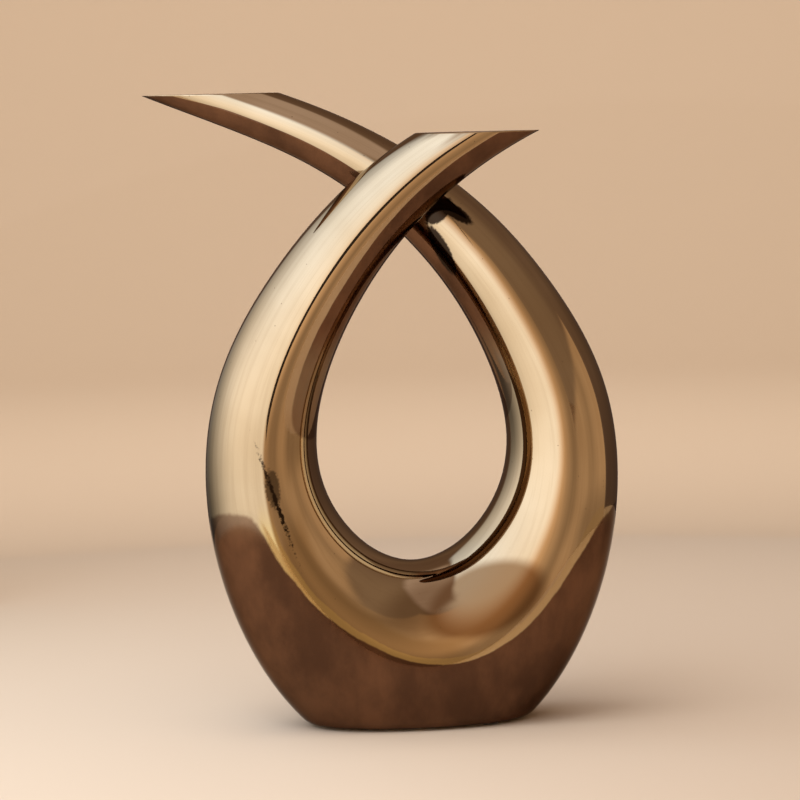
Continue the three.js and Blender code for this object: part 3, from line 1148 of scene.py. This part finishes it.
def hang(name, finish, x, y, z, cover, shine=1.0):
    """A sheet through a grid of points, with its two stored numbers."""
    mesh = bpy.data.meshes.new(name)
    number = np.arange(x.size).reshape(x.shape)
    corners = (number[:-1, :-1], number[:-1, 1:], number[1:, 1:], number[1:, :-1])
    points = np.stack([x + axis_x, y, z], -1).reshape(-1, 3)
    mesh.from_pydata(points, [], np.stack(corners, -1).reshape(-1, 4).tolist())
    for label, values in (("cover", cover), ("shine", shine)):
        stored = mesh.attributes.new(label, "FLOAT", "POINT")
        stored.data.foreach_set("value", np.broadcast_to(values, x.shape).ravel())
    mesh.materials.append(finish)
    sheet = bpy.data.objects.new(name, mesh)
    bpy.context.collection.objects.link(sheet)
    sheet.visible_camera, sheet.visible_shadow = False, False
    print(name, "has", len(mesh.polygons), "faces")
    return sheet


def around_object(bearing, radius):
    """The x and y at a bearing, in degrees from the camera's side, and a radius."""
    return radius * np.sin(np.radians(bearing)), -radius * np.cos(np.radians(bearing))


def arc(radius, start, stop, top, columns=120, rows=24):
    """A grid on an upright arc round the object, from the floor up."""
    bearing, height = np.meshgrid(np.linspace(start, stop, columns), np.linspace(0.0, top, rows))
    return bearing, height, *around_object(bearing, radius)


def ease(value, low, high):
    """A smooth step from 0 at low to 1 at high; a high under low makes it fall."""
    step = np.clip((value - low) / (high - low), 0, 1)
    return step * step * (3 - 2 * step)


print("cloth changes its tint from", TINT_LOW, "to", TINT_HIGH, "m up")

# %% [markdown]
# ## The pale sheet
# The biggest sheet hangs round the left and the front, close to the object.
# It is warm white below and cooler above, dims towards the back, and makes
# the pale sheen down the left of every curve. Its top sinks from the left to
# the front, and its right edge fades out slowly, so that on the right limb
# the sheen melts into gold. Each of these shapes is a short table that NumPy
# interpolates over the sheet: bearings or heights first, then the values.

# %% Hang the pale sheet
PALE_RADIUS, PALE_BACK, PALE_STOP = 0.60, (-150, -142), 17
PALE_HIGH, PALE_TOP_FADE = 1.8, 0.3
PALE_TOP = ((-150, -120, -90, -60, -40, -20, -5, 17), (0.95, 1.60, 1.80, 1.80, 1.60, 1.30, 0.90, 0.85))
PALE_EDGE = ((0.0, 0.12, 0.22, 0.45, 0.65, 0.80), (-1.0, 2.0, 12.0, 17.0, 17.0, 8.0))
PALE_SLACK = ((0.0, 0.12, 0.22, 0.45), (6.0, 8.0, 22.0, 26.0))
PALE_SHINE = ((-150, -120, -100, -80, -60), (0.45, 0.66, 0.84, 1.0, 1.05))
PALE_LOW = ((-130, -112, -95, -75, -50), (0.18, 0.35, 0.50, 0.68, 0.78))
PALE_RISE = ((-120, -60), (0.5, 0.3))
bearing, height, x, y = arc(PALE_RADIUS, PALE_BACK[0], PALE_STOP, PALE_HIGH, columns=168, rows=46)
edge, slack = np.interp(height, *PALE_EDGE), np.interp(height, *PALE_SLACK)
cover = ease(bearing, *PALE_BACK) * ease(edge - bearing, 0, slack)
cover *= ease(np.interp(bearing, *PALE_TOP) - height, 0, PALE_TOP_FADE)
low = np.interp(bearing, *PALE_LOW)
lit = low + (1 - low) * ease(height, 0, np.interp(bearing, *PALE_RISE))
pale_cloth = cloth_finish("pale_cloth", (1.90, 1.82, 1.72), (1.83, 2.08, 2.50))
hang("pale_sheet", pale_cloth, x, y, height, cover, np.interp(bearing, *PALE_SHINE) * lit)

# %% [markdown]
# ## The train of the pale sheet
# A narrow train of the same cloth runs in over the floor from the foot of the
# sheet, so that the mirrored sheen reaches a little lower. It is hidden from
# diffuse rays, because it would light the floor around it.

# %% Lay the train
TRAIN_LEFT, TRAIN_RIGHT, TRAIN_INNER, TRAIN_Z = (-130, -110), (-14, -24), (0.47, 0.51), 0.003
across = np.linspace(TRAIN_LEFT[0], TRAIN_RIGHT[0], 80)
bearing, reach = np.meshgrid(across, np.linspace(TRAIN_INNER[0], PALE_RADIUS, 8))
x, y = around_object(bearing, reach)
cover = ease(bearing, *TRAIN_LEFT) * ease(bearing, *TRAIN_RIGHT) * ease(reach, *TRAIN_INNER)
shine = np.interp(bearing, *PALE_LOW)
train = hang("pale_train", pale_cloth, x, y, np.full(x.shape, TRAIN_Z), cover, shine)
train.visible_diffuse = False

# %% [markdown]
# ## The gold sheet
# A gold sheet stands behind the fading edge of the pale one and runs on to
# the right. It is brightest behind that edge, dips, and shines again further
# right, where its top climbs and its end is taut.

# %% Hang the gold sheet
GOLD_RADIUS, GOLD_HIGH, GOLD_LEFT, GOLD_RIGHT = 0.66, 0.7, (-20, -12), (104, 102)
GOLD_TOP_FADE, GOLD_RISE = (-0.03, 0.03), (0.04, 0.14)
GOLD_TOP = (
    (-20, 26, 34, 38, 46, 54, 62, 70, 84, 104),
    (0.62, 0.60, 0.36, 0.30, 0.34, 0.38, 0.41, 0.45, 0.51, 0.56),
)
GOLD_SHINE = (
    (-20, 0, 6, 12, 18, 24, 31, 37, 43, 50, 58, 66, 74, 84, 94, 104),
    (2.5, 2.3, 2.0, 1.6, 1.25, 0.95, 0.75, 0.80, 1.02, 1.08, 1.1, 0.97, 0.88, 1.1, 1.2, 1.2),
)
GOLD_LOW = ((-20, 0, 12, 25, 34, 45, 60, 104), (1.2, 1.1, 0.80, 0.80, 1.15, 1.20, 0.72, 0.78))
bearing, height, x, y = arc(GOLD_RADIUS, GOLD_LEFT[0], GOLD_RIGHT[0], GOLD_HIGH, columns=125, rows=36)
cover = ease(bearing, *GOLD_LEFT) * ease(bearing, *GOLD_RIGHT)
cover *= ease(np.interp(bearing, *GOLD_TOP) - height, *GOLD_TOP_FADE)
low = np.interp(bearing, *GOLD_LOW)
shine = low + (np.interp(bearing, *GOLD_SHINE) - low) * ease(height, *GOLD_RISE)
gold_cloth = cloth_finish("gold_cloth", (0.62, 0.42, 0.26), (0.62, 0.42, 0.26))
hang("gold_sheet", gold_cloth, x, y, height, cover, shine)

# %% [markdown]
# ## Brown and overhead sheets
# A brown sheet closes the back, so that the outline of the object ends in a
# dark edge. A dull sheet hangs overhead for the tops of the horns.

# %% Hang the brown and the overhead sheet
BROWN_RADIUS, BROWN_LEFT, BROWN_RIGHT, BROWN_TOP = 0.85, (224, 212), (100, 106), (0.9, 0.6)
bearing, height, x, y = arc(BROWN_RADIUS, BROWN_RIGHT[0], BROWN_LEFT[0], BROWN_TOP[0], columns=60)
cover = ease(bearing, *BROWN_RIGHT) * ease(bearing, *BROWN_LEFT) * ease(height, *BROWN_TOP)
brown_cloth = cloth_finish("brown_cloth", (0.14, 0.09, 0.07), (0.30, 0.20, 0.14))
hang("brown_sheet", brown_cloth, x, y, height, cover)

ROOF_Z, ROOF_WIDEST, ROOF_LEFT = 1.8, 1.3, (-0.8, -0.4)
ROOF_FRONT, ROOF_BACK, ROOF_RIGHT_FADE = (-3.0, -2.5), (0.7, 0.4), (-0.15, 0.15)
ROOF_RIGHT = ((-2.9, -2.0, -1.2, -0.4, 0.0, 0.6), (0.30, 0.55, 0.85, 1.05, 0.95, 0.50))
x, y = np.meshgrid(np.linspace(ROOF_LEFT[0], ROOF_WIDEST, 40), np.linspace(ROOF_FRONT[0], ROOF_BACK[0], 60))
cover = ease(x, *ROOF_LEFT) * ease(np.interp(y, *ROOF_RIGHT) - x, *ROOF_RIGHT_FADE)
cover *= ease(y, *ROOF_FRONT) * ease(y, *ROOF_BACK)
dull_cloth = cloth_finish("dull_cloth", (0.68, 0.54, 0.48), (0.68, 0.54, 0.48))
hang("roof_sheet", dull_cloth, x, y, np.full(x.shape, ROOF_Z), cover)

# %% [markdown]
# ## A black flag
# The left limb shows a thin black line beside its sheen, and the right limb
# doesn't. A one-sided black flag does that: its face is turned to the left
# limb, and from behind it can't be seen. It points just past the limb, which
# sees it at a slant, as a narrow strip. On its way up it widens and leans to
# the right, as the front arm does.

# %% Set the flag
FLAG_LOW, FLAG_HIGH, FLAG_Y, POINTS_AT_Y = 0.13, 0.425, -0.40, -0.03
FLAG_X = (
    (0.13, 0.205, 0.23, 0.27, 0.315, 0.355, 0.385, 0.425),
    (-0.034, -0.015, -0.006, 0.012, 0.036, 0.066, 0.079, 0.096),
)
POINTS_AT = ((0.13, 0.23, 0.30, 0.355, 0.425), (-0.012, -0.002, 0.05, 0.07, 0.10))
FLAG_HALF = ((0.13, 0.20, 0.27, 0.35, 0.425), (0.07, 0.09, 0.13, 0.17, 0.20))
share, height = np.meshgrid(np.linspace(-1, 1, 2), np.linspace(FLAG_LOW, FLAG_HIGH, 24))
flag_x = np.interp(height, *FLAG_X)
slant_x, slant_y = flag_x - np.interp(height, *POINTS_AT), np.full(height.shape, FLAG_Y - POINTS_AT_Y)
slant = unit(np.stack([slant_x, slant_y], -1)) * (np.interp(height, *FLAG_HALF) * share)[..., None]
black_cloth = cloth_finish("black_cloth", (0.05, 0.036, 0.026), (0.05, 0.036, 0.026), one_sided=True)
hang("black_flag", black_cloth, flag_x + slant[..., 0], FLAG_Y + slant[..., 1], height, 1.0)

# %% [markdown]
# ## Lamps for the floor and the backdrop
# Two soft lamps lift the floor and the backdrop to a pale level and give the
# object its shadow. They are hidden from mirrors, so they add no spots to the
# glaze.

# %% Set the lamps
LAMP_COLOUR = (1.0, 0.93, 0.85)


def soft_lamp(name, place, aim, size, power):
    """A square area lamp that points at a spot and isn't mirrored."""
    light = bpy.data.lights.new(name, "AREA")
    light.size, light.energy, light.color = size, power, LAMP_COLOUR
    lamp = bpy.data.objects.new(name, light)
    lamp.location = place
    lamp.rotation_euler = (Vector(aim) - Vector(place)).to_track_quat("-Z", "Y").to_euler()
    lamp.visible_glossy = False
    bpy.context.collection.objects.link(lamp)


soft_lamp("floor_lamp", place=(-0.5, -0.4, 2.5), aim=(0.0, 0.0, 0.0), size=1.6, power=24.0)
soft_lamp("backdrop_lamp", place=(0.0, 1.4, 2.2), aim=(0.0, 3.6, 0.5), size=2.0, power=40.0)
print("lamps:", sorted(light.name for light in bpy.data.lights))

# %% [markdown]
# ## Air
# Beyond the sheets the air is a dim warm brown, a little brighter before the
# object than behind it.

# %% Set the air
AIR_BEFORE, AIR_BEHIND = (0.36, 0.25, 0.17, 1), (0.22, 0.14, 0.10, 1)
world = bpy.data.worlds.new("studio_air")
bpy.context.scene.world = world
world.use_nodes = True
air = world.node_tree
direction = split(air, add_node(air, "ShaderNodeTexCoord").outputs["Generated"])
behind = remap(air, direction["Y"], -0.4, 0.6)
plug(air, air.nodes["Background"].inputs["Color"], mix_colour(air, behind, AIR_BEFORE, AIR_BEHIND))
bpy.context.scene.view_settings.view_transform = "Standard"
print("air in place")
